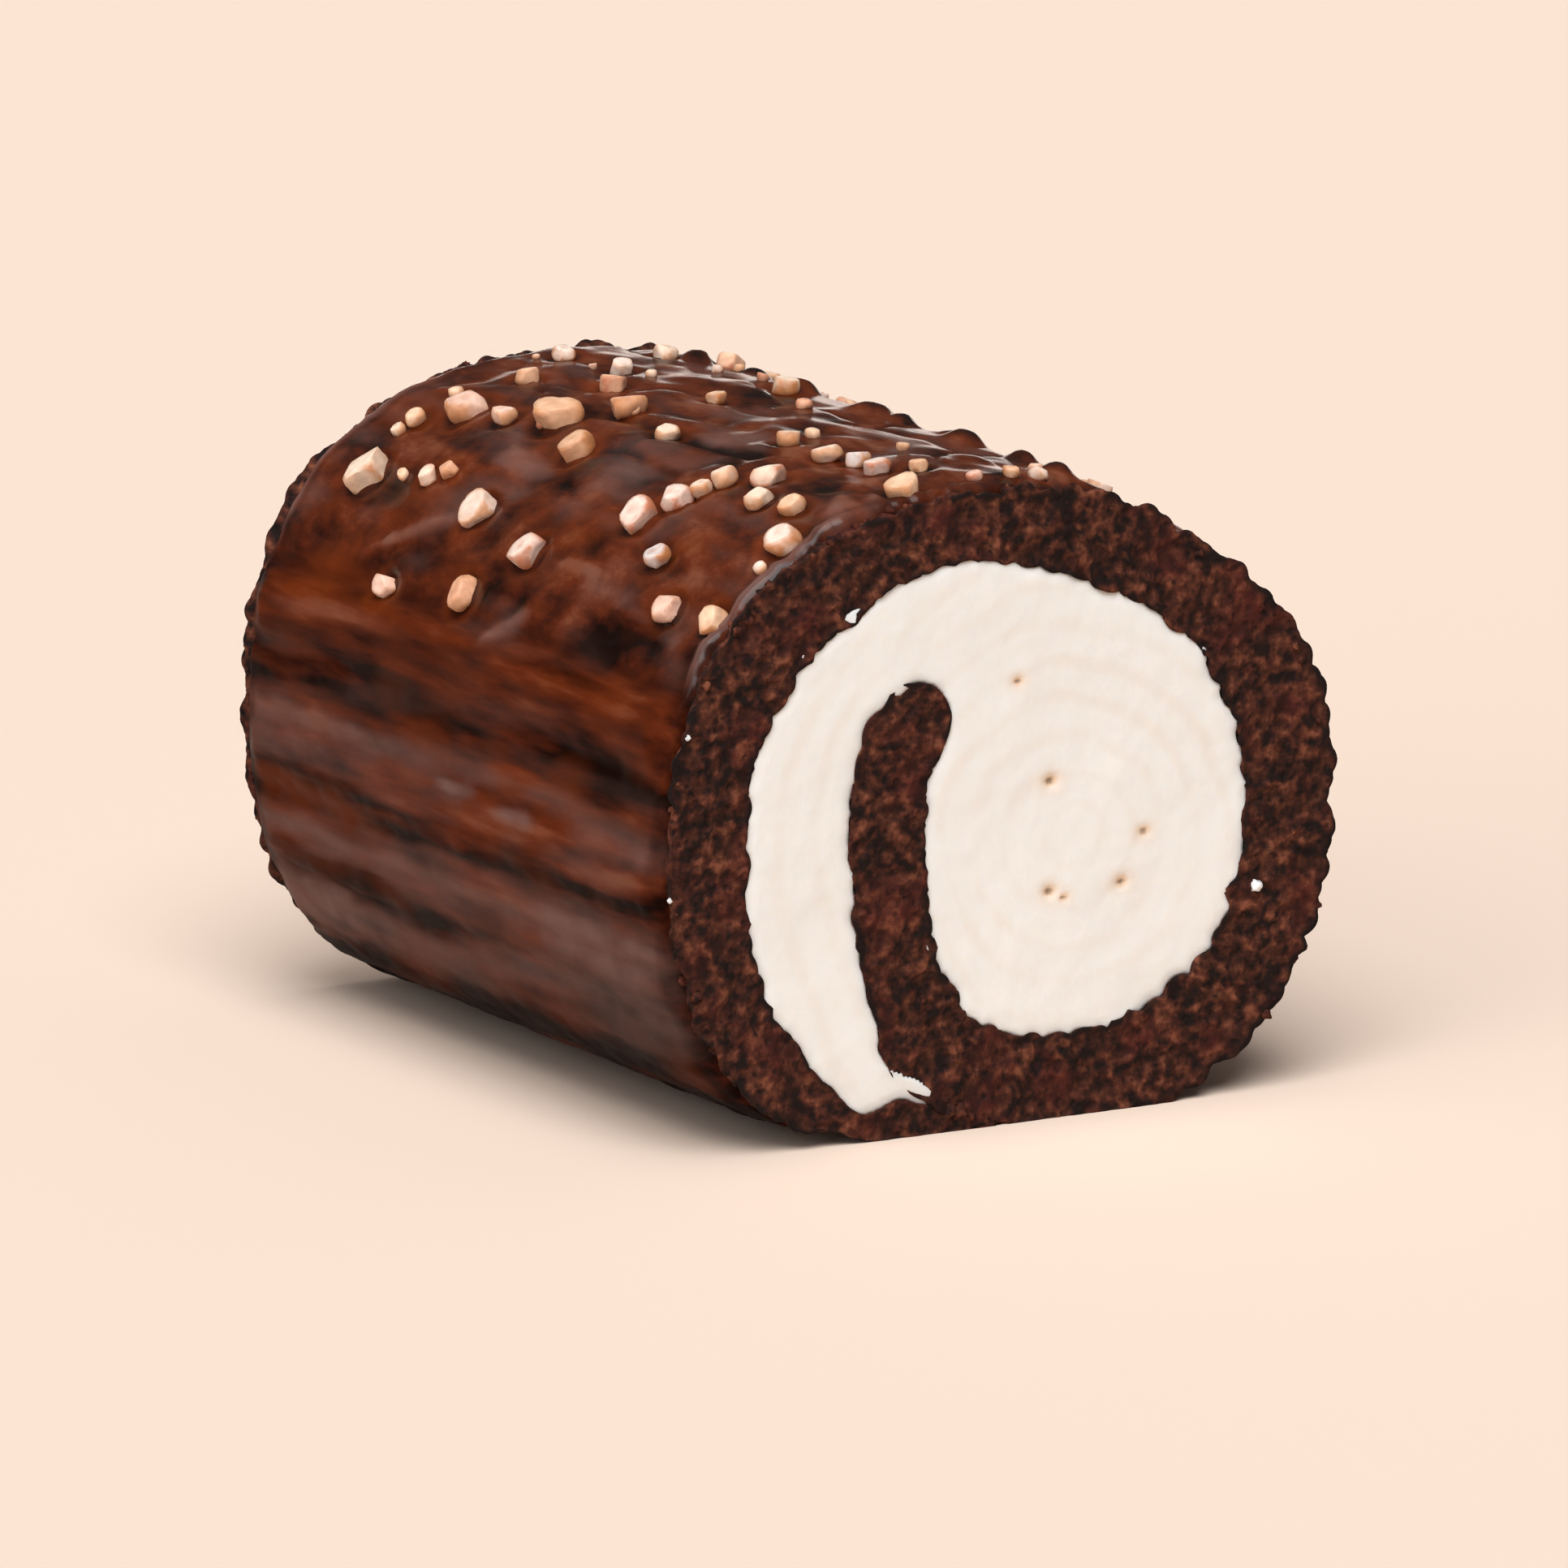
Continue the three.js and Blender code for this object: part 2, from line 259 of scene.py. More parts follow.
# ---- sponge
sponge = {
    "steps": 800,
    "layers": 22,
    "slices": [0, 0.35, 0.8, 1.4, 2.1, 2.9, 3.8, 6, 13, 24, 37],  # mm from each cut
    "tear": 0.9,  # how far the torn faces stand out and in
    "tearSize": 4.6,
    "fray": 0.85,
    "fraySize": 2.9,
    "flare": 1.0,  # the sponge bulges past the icing at each cut, but not near the table
    "flareReach": 2.8,
    "flareSize": 4.8,
    "rimBumps": [(1.1, 3.4, 5, 2), (0.5, 1.8, 9, 4)],  # height, spacing, where in the noise, turn
    "tuck": 0.12,  # under the icing it lies a little inside
    "clear": 7,
    "cutDepth": 0.35,  # the cut faces' relief
    "lump": 0.5,
    "lumpSize": 4.6,
    "pores": [(1.5, 2.2, 0.64), (0.9, 1.5, 0.6)],  # depth, spacing, share of the spacing
    "openPores": 0.35,  # below this depth the knife has filled the pores with crumb
    "grain": 0.5,  # rounded crumbs
    "grainSize": 2.3,
    "squeeze": 1.35,  # pores are longer along the sheet than across it
    "wallPores": (2.1, 0.5, 0.5, 5),  # in the sheet's faces: spacing, share, depth, how far from the cut
    "rimRise": 0.75,  # on the right shoulder the torn rim stands higher
    "leftRise": 0.35,
    "pinch": 1.4,  # the curl is pressed on the sheet's first edge, which closes the seam
    "nick": (28.9, 22.5, 1.5, 1.5),  # a crumb of sponge dragged into the cream: x, z, size, reach
}
places = sheetPlaces(sponge["steps"])
sheetTree = kdtree.KDTree(len(places))
for index, place in enumerate(places):
    sheetTree.insert((place[2].x, place[2].y, 0), index)
sheetTree.balance()


def tornBy(run, side, y):
    # how far the torn face of the sheet stands out at a place
    broad = noise.noise((run / sponge["tearSize"], side * 3.5, y / 6))
    grain = granule(run, side * 9, y, sponge["fraySize"], 6) - 0.3
    return sponge["tear"] * broad + sponge["fray"] * grain


def pinchAt(angle):
    start = sheet["curlStart"]
    return sponge["pinch"] * ease(start + 2, start - 5, angle) * ease(start - 50, start - 28, angle)


def nickAt(x, y, z):
    nx, nz, size, reach = sponge["nick"]
    away = ((x - nx) ** 2 + (z - nz) ** 2) / (size * size)
    return reach * math.exp(-away * 2) * ease(6, 1, y + roll["half"])


def cutRelief(run, across, y):
    # the relief of a cut face: how far it lies inside, and how much painted shade it gets in its pores and in
    # the joints between crumbs
    long = run / sponge["squeeze"]
    depth = sponge["cutDepth"]
    dark = 0
    for turn, (deep, spacing, share) in enumerate(sponge["pores"]):
        hole = pore(long, y, across, spacing, share, turn)
        depth += deep * hole
        dark = max(dark, hole * (1 if turn == 0 else 0.75))
    grain = granule(long, y, across, sponge["grainSize"])
    depth -= soft(long, y, across, sponge["lumpSize"]) * sponge["lump"]
    depth -= grain * sponge["grain"]
    # painted shade in the joints between crumbs; where crumb fills a pore it gets less
    dark = max(dark, 0.5 * ease(0.3, -0.1, grain))
    filled = max(0, depth - sponge["openPores"])
    return max(0, depth - 0.8 * filled), dark * mix(1, 0.3, ease(0, 0.15, filled))


def makeSponge():
    near = [-roll["half"] + d for d in sponge["slices"]]
    ys = near + [-y for y in reversed(near)]
    bm = slab(sponge["steps"], sponge["layers"], len(ys))
    # painted shade on each corner: pores, crumb joints and the cut face's rim
    pit = bm.verts.layers.float.new("pit")
    wallSpacing, wallShare, wallDepth, wallReach = sponge["wallPores"]
    last = len(ys) - 1
    for v in bm.verts:
        place = places[round((v.co.x + 1) / 2 * sponge["steps"])]
        run, angle, middle, inward, half = place
        side = round((v.co.y + 1) / 2 * sponge["layers"]) / sponge["layers"] * 2 - 1
        level = round(v.co.z)
        y = ys[level]
        torn = min(1, half * 2 / sheet["thickness"])
        outer = side < 0 and angle > sheet["curlStart"]
        atCut = ease(roll["half"] - sponge["flareReach"], roll["half"], abs(y))
        edge = ease(0.35, 1, abs(side))
        if outer:
            bulge = 0.4 + 0.6 * soft(run, y, 5, sponge["flareSize"])
            for height, spacing, where, turn in sponge["rimBumps"]:
                bulge += height * (granule(run, where, y, spacing, turn) - 0.3)
            bulge += sponge["rimRise"] * ease(5, 20, angle) * ease(92, 80, angle)
            bulge += sponge["leftRise"] * ease(130, 145, angle)
            bulge *= sponge["flare"] * ease(0, sponge["clear"], middle.y)
            out = (bulge * atCut - sponge["tuck"] * (1 - atCut)) * edge
        else:
            out = (tornBy(run, 1 if side > 0 else -1, y) * torn + pinchAt(angle) * (side < 0)) * edge
        at = middle + inward * (side * half + math.copysign(out, side))
        if side > 0 and angle > sheet["curlStart"]:
            at += inward * nickAt(at.x, y, at.y) * edge
        dark = 0
        if level in (0, last):
            depth, dark = cutRelief(run, side * half, y)
            rimShade = 0.55 * ease(0.7, 1, abs(side)) * ease(-0.25, 0.3, soft(run, side * 4, y, 2.2, 8))
            dark = max(dark, rimShade)
            depth = max(depth * (1 - 0.55 * ease(0.75, 1, abs(side))), 0.1)
            y -= math.copysign(depth * (0.35 + 0.65 * torn), y)
        elif abs(side) > 0.99 and abs(y) > roll["half"] - wallReach:
            # painted shade in the pores of the sheet's faces near the cut
            hole = pore(at.x, y, at.y, wallSpacing, wallShare, 5)
            dark = hole
            at += inward * (-side) * hole * wallDepth * torn
        v.co = (at.x, y, max(0, at.y))
        v[pit] = dark
    return bm


def makeSpongeMaterial():
    # cocoa sponge, baked and cut with a saw knife: matt and dark, with painted shade in its pores and a
    # reddish cast
    material, tree, shader, at = startMaterial("CocoaSpongeCut")
    mottle = addNode(tree, "TexNoise", {"Scale": perMetre(1.4), "Detail": 3, "Roughness": 0.5},
                     {"Vector": at})
    brown = addNode(tree, "ValToRGB", {"stops": [
        (0.37, tone("#150603")), (0.47, tone("#3a190f")), (0.57, tone("#542a1b")), (0.7, tone("#7a4631")),
    ]}, {"Fac": mottle.outputs["Fac"]})
    patches = addNode(tree, "TexNoise", {"Scale": perMetre(7), "Detail": 2}, {"Vector": at})
    patch = addNode(tree, "MapRange", {"From Min": 0.5, "From Max": 0.7, "To Max": 0.5},
                    {"Value": patches.outputs["Fac"]})
    red = addNode(tree, "Mix", {"data_type": "RGBA", 7: tone("#551c14")},
                  {0: patch.outputs["Result"], 6: brown.outputs["Color"]})
    cells = addNode(tree, "TexVoronoi", {"Scale": perMetre(1.1), "Randomness": 1}, {"Vector": at})
    hole = addNode(tree, "MapRange", {"From Min": 0.1, "From Max": 0.4, "To Min": 0.35, "To Max": 1},
                   {"Value": cells.outputs["Distance"]})
    # painted shade: darker in the middle of each small cell, as in a pore, which is also bumped in
    poreShaded = addNode(tree, "Mix", {"data_type": "RGBA", "blend_type": "MULTIPLY", 0: 0.7},
                    {6: red.outputs[2], 7: hole.outputs["Result"]})
    # painted shade from the mesh's pores, crumb joints and the cut face's rim, down to near black
    pit = addNode(tree, "Attribute", {"attribute_name": "pit"})
    deep = addNode(tree, "MapRange", {"From Min": 0.0, "From Max": 0.45, "To Max": 0.97},
                   {"Value": pit.outputs["Fac"]})
    base = addNode(tree, "Mix", {"data_type": "RGBA", 7: tone("#120503")},
                   {0: deep.outputs["Result"], 6: poreShaded.outputs[2]})
    tree.links.new(base.outputs[2], shader.inputs["Base Color"])
    grain = addNode(tree, "TexNoise", {"Scale": perMetre(0.7), "Detail": 3}, {"Vector": at})
    grains = addNode(tree, "Bump", {"Strength": 0.7, "Distance": 0.00025}, {"Height": grain.outputs["Fac"]})
    holes = addNode(tree, "Bump", {"Strength": 0.8, "Distance": 0.0003},
                    {"Height": hole.outputs["Result"], "Normal": grains.outputs["Normal"]})
    tree.links.new(holes.outputs["Normal"], shader.inputs["Normal"])
    shader.inputs["Roughness"].default_value = 0.85
    shader.inputs["IOR"].default_value = 1.4
    shader.inputs["Specular IOR Level"].default_value = 0.35
    return material


spongeMaterial = makeSpongeMaterial()
spongePiece = finishPiece(makeSponge(), "sponge_crumb", spongeMaterial)
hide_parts("sponge")

# ---- cream
cream = {
    "cells": 172,
    "slices": [0, 3.6, 4.5],  # mm from each cut
    "face": 0.1,  # how far its cut face lies inside the sponge's
    "ripple": 0.01,  # round marks left by the knife
    "rippleSize": 3.4,
    "rippleCentre": (9, 31),
    "swell": 0.22,
    "swellSize": 12,
    "sunk": 2.6,  # where the sponge lies, the face goes back this much
    "dimples": [  # x, z, size, depth
        (5.7, 37.1, 1.3, 0.7), (17.3, 30.4, 1.2, 0.4), (14.6, 25.1, 1.25, 0.5), (5.5, 25.0, 1.3, 0.6),
        (7.2, 24.2, 0.9, 0.3), (1.5, 48.5, 1.0, 0.35),
    ],
}


def sheetDepth(x, y, z):
    # how deep a point lies in the sponge, in mm: below 0 it is in the cream
    _, index, distance = sheetTree.find((x, z, 0))
    run, angle, middle, inward, half = places[index]
    side = 1 if (Vector((x, z)) - middle).dot(inward) > 0 else -1
    torn = min(1, half * 2 / sheet["thickness"])
    edge = half + (tornBy(run, side, y) * torn if side > 0 or angle <= sheet["curlStart"] else 0)
    if side < 0:
        edge += pinchAt(angle)
    if side > 0 and angle > sheet["curlStart"]:
        edge += nickAt(x, y, z)
    return edge - distance


def creamFace(x, y, z):
    cx, cz = cream["rippleCentre"]
    r = math.hypot(x - cx, z - cz) + 1.6 * soft(x, y, z, 9, 1)
    strong = max(0, 0.6 + 1.6 * soft(x, y, z, 7, 6)) * ease(26, 16, r)
    wave = 1 + math.sin(r * 2 * math.pi / cream["rippleSize"])
    depth = cream["face"] + cream["ripple"] * strong * wave
    depth += cream["swell"] * (0.6 + soft(x, y, z, cream["swellSize"], 2))
    depth += 0.05 * soft(x, y, z, 1.8, 4) + 0.09 * soft(x, y, z, 4.5, 7)
    # each dimple gets a darker brown middle and a faint beige ring round it
    stain = 0
    for dx, dz, size, deep in cream["dimples"]:
        d = math.hypot(x - dx, (z - dz) * 1.3) / size
        if d < 2.6:
            depth += deep * math.exp(-d * d * 3)
            stain = max(stain, math.exp(-d * d * 3.5), 0.3 * math.exp(-d * d * 0.7))
    inside = sheetDepth(x, y, z)
    seam = ease(-9.5, -7.5, x) * ease(5.5, 4.2, z)  # there the sheet's edge is pressed on the roll
    depth += 0.2 * ease(-1.3, 0.1, inside) + cream["sunk"] * ease(0.1, 0.8, max(inside, seam))
    return depth, stain


def creamWall(angle):
    first = sheet["stations"][0][0]
    if angle > 281:
        depth = thicknessAt(angle - 360) / 2
    else:
        depth = mix(thicknessAt(min(angle, first)), sheet["thickness"], ease(first, 281, angle)) / 2
    edge = outline(angle)
    return edge.lerp(centre, depth / (edge - centre).length)


def makeCream():
    near = [-roll["half"] + d for d in cream["slices"]]
    ys = near + [-y for y in reversed(near)]
    bm = slab(cream["cells"], cream["cells"], len(ys))
    stain = bm.verts.layers.float.new("stain")
    last = len(ys) - 1
    for v in bm.verts:
        # square to round, so that the face has no pole in its middle
        x = v.co.x * math.sqrt(1 - v.co.y ** 2 / 2)
        z = v.co.y * math.sqrt(1 - v.co.x ** 2 / 2)
        level = round(v.co.z)
        angle = math.degrees(math.atan2(z, x)) % 360
        at = centre.lerp(creamWall(angle), min(1, math.hypot(x, z)))
        y = ys[level]
        mark = 0
        if level in (0, last):
            depth, mark = creamFace(at.x, y, at.y)
            y -= math.copysign(depth, y)
            mark = mark if level == 0 else 0
        v.co = (at.x, y, at.y)
        v[stain] = mark
    return bm


def makeCreamMaterial():
    # dairy cream, whipped stiff and wiped by the knife: soft white that light sinks into, with beige smears
    material, tree, shader, at = startMaterial("WhippedDairyCream")
    cx, cz = cream["rippleCentre"]
    centred = addNode(tree, "Mapping", {"Location": (-cx / 1000, 0, -cz / 1000)}, {"Vector": at})
    rings = addNode(tree, "TexWave", {
        "wave_type": "RINGS", "rings_direction": "Y", "Scale": math.pi / 10 / 0.0043,
        "Distortion": 11, "Detail": 3, "Detail Scale": 0.35,
    }, {"Vector": centred.outputs["Vector"]})
    veil = addNode(tree, "TexNoise", {"Scale": perMetre(11), "Detail": 3}, {"Vector": at})
    veiled = addNode(tree, "Math", {"operation": "MULTIPLY"},
                     {0: rings.outputs["Fac"], 1: veil.outputs["Fac"]})
    smear = addNode(tree, "MapRange", {"From Min": 0.25, "From Max": 0.7, "To Max": 0.3},
                    {"Value": veiled.outputs["Value"]})
    body = addNode(tree, "Mix", {"data_type": "RGBA", 6: tone("#ecebe8"), 7: tone("#e2d6ca")},
                   {0: smear.outputs["Result"]})
    # the dimples' tone: a beige ring and a darker brown middle
    mark = addNode(tree, "Attribute", {"attribute_name": "stain"})
    halo = addNode(tree, "MapRange", {"From Max": 0.4, "To Max": 0.75}, {"Value": mark.outputs["Fac"]})
    tinged = addNode(tree, "Mix", {"data_type": "RGBA", 7: tone("#e5c39f")},
                     {0: halo.outputs["Result"], 6: body.outputs[2]})
    core = addNode(tree, "MapRange", {"From Min": 0.45, "From Max": 0.95, "To Max": 0.85},
                   {"Value": mark.outputs["Fac"]})
    base = addNode(tree, "Mix", {"data_type": "RGBA", 7: tone("#75573c")},
                   {0: core.outputs["Result"], 6: tinged.outputs[2]})
    tree.links.new(base.outputs[2], shader.inputs["Base Color"])
    bubble = addNode(tree, "TexNoise", {"Scale": perMetre(1.3), "Detail": 4}, {"Vector": at})
    bumps = addNode(tree, "Bump", {"Strength": 0.35, "Distance": 0.0002}, {"Height": bubble.outputs["Fac"]})
    tree.links.new(bumps.outputs["Normal"], shader.inputs["Normal"])
    shader.inputs["Roughness"].default_value = 0.6
    shader.inputs["IOR"].default_value = 1.4
    shader.inputs["Subsurface Weight"].default_value = 0.5
    shader.inputs["Subsurface Radius"].default_value = (1.0, 0.75, 0.55)
    shader.inputs["Subsurface Scale"].default_value = 0.002
    return material


creamMaterial = makeCreamMaterial()
creamPiece = finishPiece(makeCream(), "cream_filling", creamMaterial)
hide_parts("cream")

# ---- icing
icing = {
    "columns": 350,
    "rows": 134,
    "thickness": 1.1,
    "meanStand": 1.8,
    "inset": 2.8,
    "reach": 1.3,  # it runs this much nearer to the cuts than the CAD part's
    "left": 233,  # the angles where its two edges stop, clear of the table
    "right": -52,
    "lumps": 0.8,
    "lumpSize": 13,
    "wander": 2.2,
    "folds": [  # from angle to angle, height
        (158, 169.5, 1.3), (169.5, 181, 0.3), (181, 193.5, 1.15), (193.5, 199.5, 0.4), (199.5, 206.5, 0.85),
        (206.5, 229, 0.9), (58, 79, 0.9), (18, 30, 0.9), (6, 18, 1.1), (-7, 6, 0.4), (-19, -7, 1.1),
        (-33, -19, 0.8), (-50, -33, 0.7),
    ],
    "dab": 0.4,  # leaf-like dabs of icing on the top, with creases between some of them
    "dabSize": (8, 13),  # round the roll and along it
    # edges where one drawn sheet of icing laps another: angle at the back and front, mm from the front, step
    "lap": [
        (158.6, 158.2, 0, 100, 0.4), (168.4, 169.4, 0, 100, -0.45), (177.5, 180.5, 0, 100, 0.45),
        (188, 189.5, 0, 100, -0.35), (195.3, 196.5, 0, 100, 0.4), (200.6, 202.2, 52, 100, -0.35),
        (206.6, 206, 40, 100, 0.35), (210, 213, 0, 64, 0.2), (18, 19, 0, 100, -0.4), (5, 7, 0, 100, -0.4),
        (-8, -6, 0, 100, 0.4), (-20, -18, 0, 100, -0.35), (-33, -31, 0, 100, 0.35),
    ],
    "shades": [  # angle, how light (the icing's own bands, with painted shade that darkens it from 213 degrees down to the table), how much painted grey sheen of the pale floor's reflection
        (28, 0.45, 0.15), (90, 0.5, 0.08), (120, 0.5, 0.1), (146, 0.48, 0.05), (153, 0.32, 0), (157, 0.34, 0),
        (160, 0.46, 0), (163, 0.42, 0), (166, 0.38, 0), (168.5, 0.28, 0), (171, 0.2, 0), (174, 0.22, 0),
        (177, 0.5, 0.1), (180, 0.48, 0.4), (183, 0.48, 0.35), (186, 0.54, 0.25), (189, 0.18, 0),
        (192, 0.1, 0), (195, 0.3, 0.3), (198, 0.48, 0.85), (201, 0.38, 0.5), (204, 0.24, 0.3),
        (207, 0.15, 0.5), (210, 0.1, 0.6), (213, 0, 0.35), (216, -0.1, 0.05), (219, -0.38, 0), (233, -0.4, 0),
    ],
    "patches": [  # angle and mm from the front, how far each way, then how much lighter (own tone and painted light and shade together), how much painted sheen, and how much redder
        (203.5, 78, 3.4, 26, -0.4, -0.6, 0.45), (183, 34, 4.5, 14, 0.1, -0.35, 0.45),
        (177, 33, 1.5, 6, 0.25, -0.2, 0.9), (190.5, 46, 1.2, 4, 0.3, 0.1, 0.6),
        (183, 32, 1.4, 4.5, 0, 0.9, -0.6), (182, 46, 1.1, 4, 0, 0.8, -0.6),
        (185.3, 80, 2.1, 13, -0.35, 0.15, 0), (179.8, 78, 1.9, 18, 0.1, 0.4, -0.2),
        (181, 12, 3.5, 10, 0.1, 0.1, 0.2), (196, 40, 3, 12, 0.15, 0.1, 0),
        (200, 17, 6, 17, 0.05, 0.35, 0), (161.5, 12, 4, 16, -0.12, -0.1, 0.3),
        (161.5, 85, 1.5, 5, 0, 0, 0.8), (188, 90, 4, 7, -0.1, 0.1, 0.2),
        (172, 62, 3, 12, -0.2, 0.15, 0), (191, 84, 2.5, 14, -0.3, -0.2, 0.3),
        (153.5, 14, 4.5, 13, -0.25, 0.1, 0), (129.5, 60, 2.6, 5, 0.05, 0.5, 0.3),
        (129, 73, 2.6, 6, -0.4, 0, 0), (143, 25, 4, 7, 0.15, 0.35, 0), (134, 15, 4, 5, 0.15, -0.2, 0.7),
        (116, 2, 5, 3, 0.4, 0.5, 0.4), (137, 36, 5, 7, 0.12, 0.1, 0.2), (103, 40, 4, 9, 0, 0.6, 0),
        (148, 58, 4, 10, -0.1, -0.1, 0.3), (126, 40, 6, 8, -0.1, 0.5, 0),
        (210, 90, 6.5, 18, 0.3, 0.55, -0.5), (206, 56, 2.6, 9, -0.15, -0.2, 0),
        (191, 84, 4, 24, -0.22, -0.3, 0.5), (174, 24, 2.4, 18, -0.15, 0, 0.2),
        (201, 84, 2, 12, -0.15, -0.1, 0), (187, 14, 2, 12, 0.2, 0.2, 0), (188, 62, 3, 9, 0.15, 0.1, 0),
        (167, 12, 3.2, 14, 0.22, 0, 0.1), (186, 88, 2.6, 14, 0.3, 0.1, 0),
        (189, 14, 2.4, 14, 0.15, 0, 0.1),
    ],
    "strokes": [  # ridges and grooves of the knife: angle and mm at both ends, half width, height, then how much lighter (a painted highlight on ridges, painted shade in grooves where it is below 0) and how much painted sheen
        (152.5, 75, 149.5, 71.5, 0.8, 0.35, 0.4, 0.4), (149.5, 71.5, 143.5, 62.5, 0.8, 0.35, 0.35, 0.6),
        (158, 43, 153.8, 37.5, 0.9, 0.4, 0.5, 0.7), (144, 36, 144, 30, 0.8, 0.3, 0.4, 0.4),
        (113, 7, 121, 0.5, 0.9, 0.3, 0.5, 0.5), (108, 5, 114, 0.5, 0.8, 0.3, 0.4, 0.5),
        (112, 66, 109, 48, 1.1, -0.5, -0.5, -0.3), (109, 48, 108, 30, 1.1, -0.5, -0.5, -0.3),
        (147, 22, 150, 8, 0.8, 0.25, 0.15, 0.5), (124, 66, 128, 62, 0.8, 0.2, 0.2, 0.4),
    ],
    "knobs": [  # drips on the far shoulder, painted dark as shade and bare of painted sheen: angle, mm from the front, half width, height
        (70, 46, 2.6, 1.4), (69, 40.5, 1.6, 1.0), (70, 26.5, 2.2, 1.3), (69, 15.5, 1.8, 1.2),
        (69, 8, 1.7, 1.1), (70, 62, 2.2, 1.2), (68, 74, 1.8, 1.1), (66, 33, 1.8, 1.0), (71, 84, 2.0, 1.2),
    ],
    "drag": 0.07,  # fine lines drawn along the roll on its sides
    "edgeWander": 0.8,
    "edgeHeight": 1.3,  # how far it may stand off at its ends, and less on the right shoulder
    "edgeDrop": 0.6,
    "bead": 1.1,
}
nuts = {
    "placed": [  # angle, mm from the front cut, size
        (140.4, 83.6, 5.4), (127.4, 85.4, 2.6), (122, 79.2, 5), (121.5, 71.1, 3), (117.3, 64.4, 5.6),
        (123, 53.8, 4.2), (137.8, 71.7, 2.4), (135.7, 69, 2.4), (140.1, 58.6, 4.3), (144.4, 43.4, 4.3),
        (156.6, 67.9, 3.1), (153.8, 51.6, 4), (110.2, 47.6, 3), (132.8, 29.6, 4.4), (127, 27.4, 3.8),
        (122.8, 26.1, 2.6), (118.8, 25.6, 3.4), (138, 21.3, 3.4), (145.4, 13.2, 3.8), (144.9, 4.2, 3.5),
        (127.2, 4.8, 4.6), (114.2, 21, 4), (121, 15.7, 3.2), (119.8, 10, 3), (99.4, 32.2, 3.2),
        (99.4, 24.1, 3.2), (97.4, 19.7, 3), (98.4, 14.9, 3.2), (102.8, 4.2, 4.2), (90.9, 57.1, 2.4),
        (92.4, 12, 2.4),
    ],
    "patches": [(22, (18, 62), (6, 90.5)), (9, (64, 112), (52, 90.5))],  # count, angles, mm from the front
    "smallest": 2.6,
    "largest": 4.2,
    "spacing": 5.5,
}
drawn = {"seed": 7}


def draw():
    # the CAD part's own run of numbers, so that the scattered nuts fall in the same places
    drawn["seed"] = drawn["seed"] * 16807 % 2147483647
    return drawn["seed"] / 2147483647


def scatterNuts():
    half = roll["half"]
    placed = [(angle, start - half, size) for angle, start, size in nuts["placed"]]
    for count, angles, along in nuts["patches"]:
        full = len(placed) + count
        tries = 0
        while len(placed) < full and tries < 4000:
            tries += 1
            angle = mix(*angles, draw())
            y = mix(*along, draw()) - half
            size = mix(nuts["smallest"], nuts["largest"], draw())
            here = outline(angle)
            gaps = [math.hypot((outline(a) - here).length, b - y) for a, b, _ in placed]
            if min(gaps) > nuts["spacing"]:
                placed.append((angle, y, size))
    return placed


nutSpots = scatterNuts()
nutTree = kdtree.KDTree(len(nutSpots))
for index, (angle, y, size) in enumerate(nutSpots):
    point = offOutline(angle, icing["meanStand"])
    nutTree.insert((point.x, y, point.y), index)
nutTree.balance()


def fromStroke(angle, fromFront, a0, f0, a1, f1):
    # mm from a place on the icing to the line between two others, at 0.65 mm to a degree
    place = Vector(((angle - a0) * 0.65, fromFront - f0))
    line = Vector(((a1 - a0) * 0.65, f1 - f0))
    share = max(0, min(1, place.dot(line) / line.length_squared))
    return (place - line * share).length


def icingMarks(angle, fromFront):
    # what the listed patches, strokes and drips add to the icing's height, lightness (painted light and shade
    # among it), painted sheen and red
    height = light = haze = red = 0
    for a, f, aReach, fReach, lighter, moreSheen, redder in icing["patches"]:
        d = math.hypot((angle - a) / aReach, (fromFront - f) / fReach)
        if d < 1.4:
            share = ease(1.4, 0.3, d + 0.5 * noise.noise((angle / 2.2, fromFront / 5, a)))
            light += lighter * share
            haze += moreSheen * share
            red += redder * share
    for a0, f0, a1, f1, width, rise, lighter, moreSheen in icing["strokes"]:
        if min(a0, a1) - 4 < angle < max(a0, a1) + 4:
            d = fromStroke(angle, fromFront, a0, f0, a1, f1) / width
            if d < 2.5:
                share = math.exp(-d * d)
                # painted highlight along each ridge and painted shade along each groove, with painted sheen
                height += rise * share
                light += lighter * share
                haze += moreSheen * share
    for a, f, width, rise in icing["knobs"]:
        d = math.hypot((angle - a) * 0.62, (fromFront - f) * 0.7) / width
        if d < 1.6:
            share = math.exp(-2 * d ** 3)
            height += rise * share
            # painted shade on the drips, and no painted sheen
            light -= 0.7 * share
            haze -= share
    return height, light, haze, red


